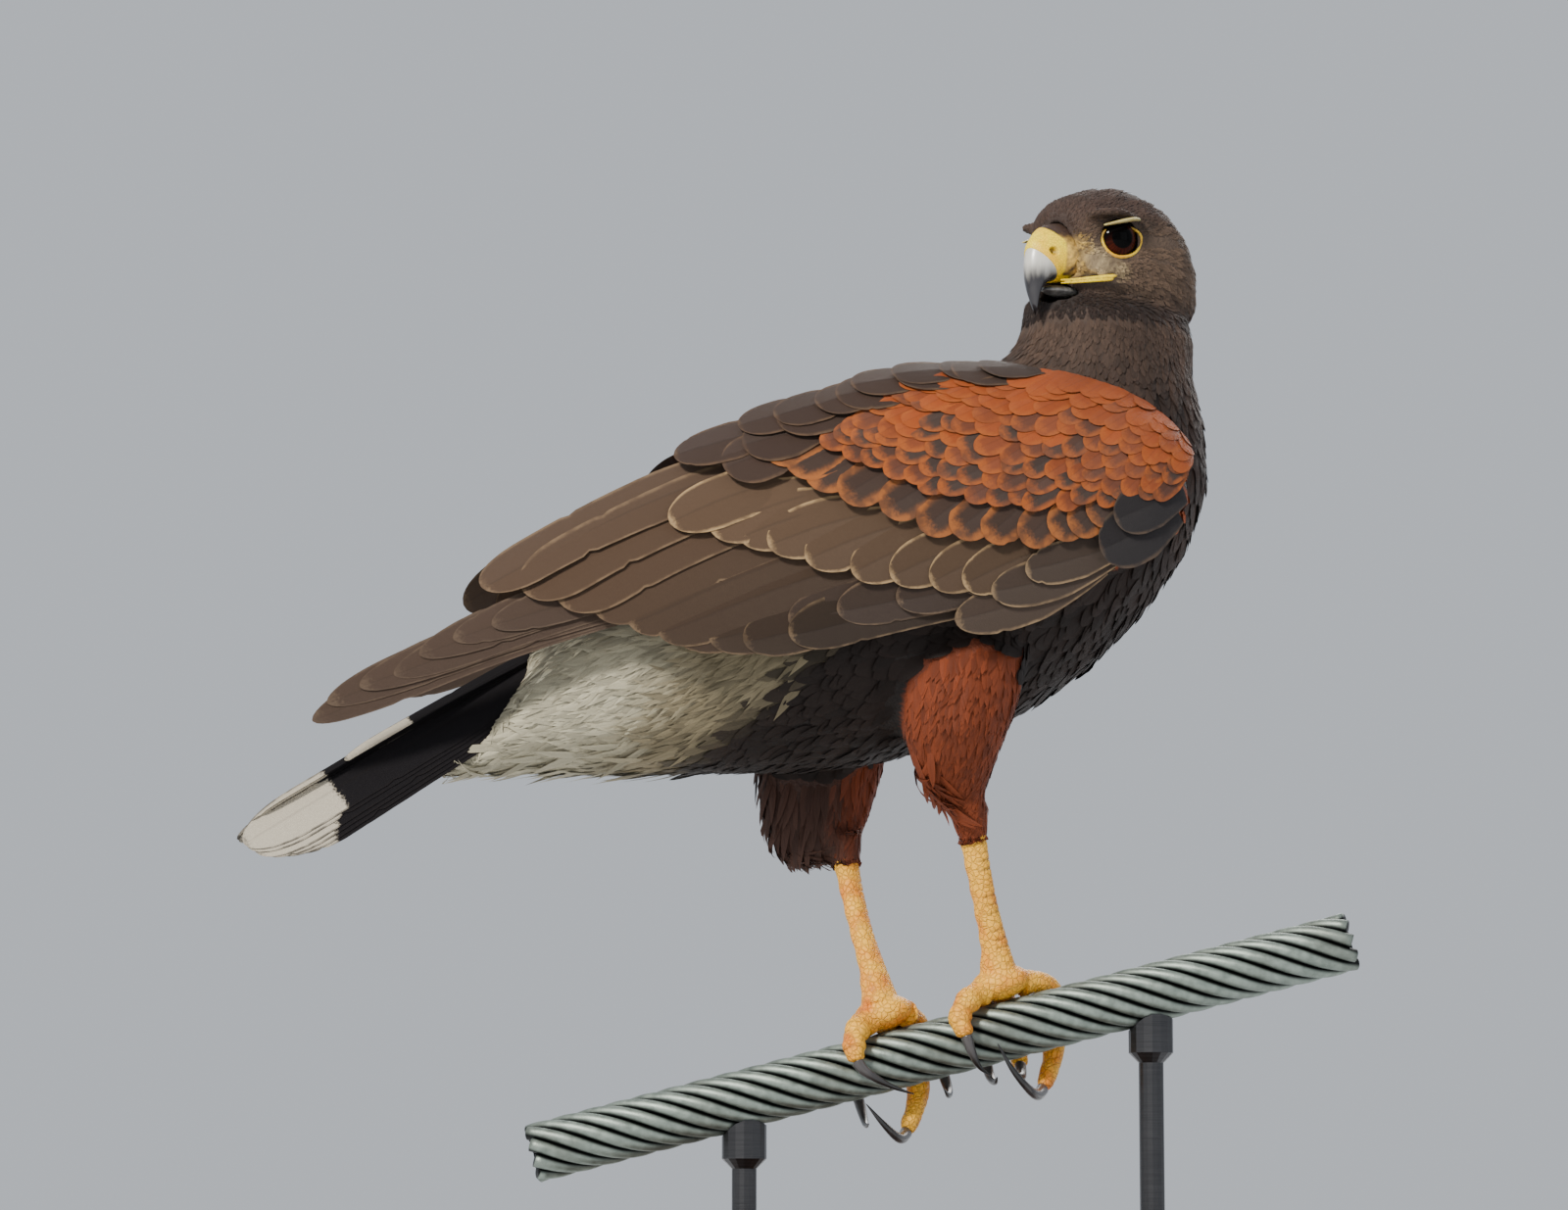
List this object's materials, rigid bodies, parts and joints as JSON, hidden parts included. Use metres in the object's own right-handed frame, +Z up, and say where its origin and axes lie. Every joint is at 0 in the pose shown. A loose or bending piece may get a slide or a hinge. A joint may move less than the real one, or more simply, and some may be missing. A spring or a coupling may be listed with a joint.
{
  "type": "harris hawk",
  "caption": "Life-size still model of a perched Harris's hawk looking back over its shoulder, on a cut length of twisted steel cable held by rods on a flat display base.",
  "frame": {"origin": "centre of the display base's underside", "axes": "+Z up, +X towards the bird's chest along the cable's uphill end, +Y towards the bird's left side"},
  "size_m": [0.4539, 0.17, 0.4798],
  "materials": {
    "brown_plumage": "matt dark brown body feathers",
    "rufous_plumage": "matt chestnut feathers",
    "black_plumage": "matt black-brown feathers",
    "yellow_cere": "bare yellow skin, satin",
    "grey_horn": "blue-grey horn, semi-gloss",
    "brown_eye": "glossy dark brown eye",
    "yellow_leg": "scaly orange-yellow skin, satin",
    "black_claw": "black horn, semi-gloss",
    "zinc_steel": "weathered galvanised wire",
    "dark_metal": "satin black",
    "dark_wood": "dark stained, satin"
  },
  "bodies": {
    "root": {"stand_base": "dark_wood", "stand_rod_low": "dark_metal", "stand_rod_high": "dark_metal", "perch_cable": "zinc_steel", "torso": "brown_plumage", "neck": "brown_plumage", "head": "brown_plumage", "cere": "yellow_cere", "bill_upper": "grey_horn", "bill_lower": "grey_horn", "eye_right": "brown_eye", "eye_left": "brown_eye", "wing_right": "rufous_plumage", "wing_left": "rufous_plumage", "tail": "black_plumage", "thigh_right": "rufous_plumage", "thigh_left": "rufous_plumage", "shank_right": "yellow_leg", "shank_left": "yellow_leg", "toe_outer_right": "yellow_leg", "toe_middle_right": "yellow_leg", "toe_inner_right": "yellow_leg", "toe_hind_right": "yellow_leg", "toe_outer_left": "yellow_leg", "toe_middle_left": "yellow_leg", "toe_inner_left": "yellow_leg", "toe_hind_left": "yellow_leg", "claw_outer_right": "black_claw", "claw_middle_right": "black_claw", "claw_inner_right": "black_claw", "claw_hind_right": "black_claw", "claw_outer_left": "black_claw", "claw_middle_left": "black_claw", "claw_inner_left": "black_claw", "claw_hind_left": "black_claw"}
  },
  "joints": []
}
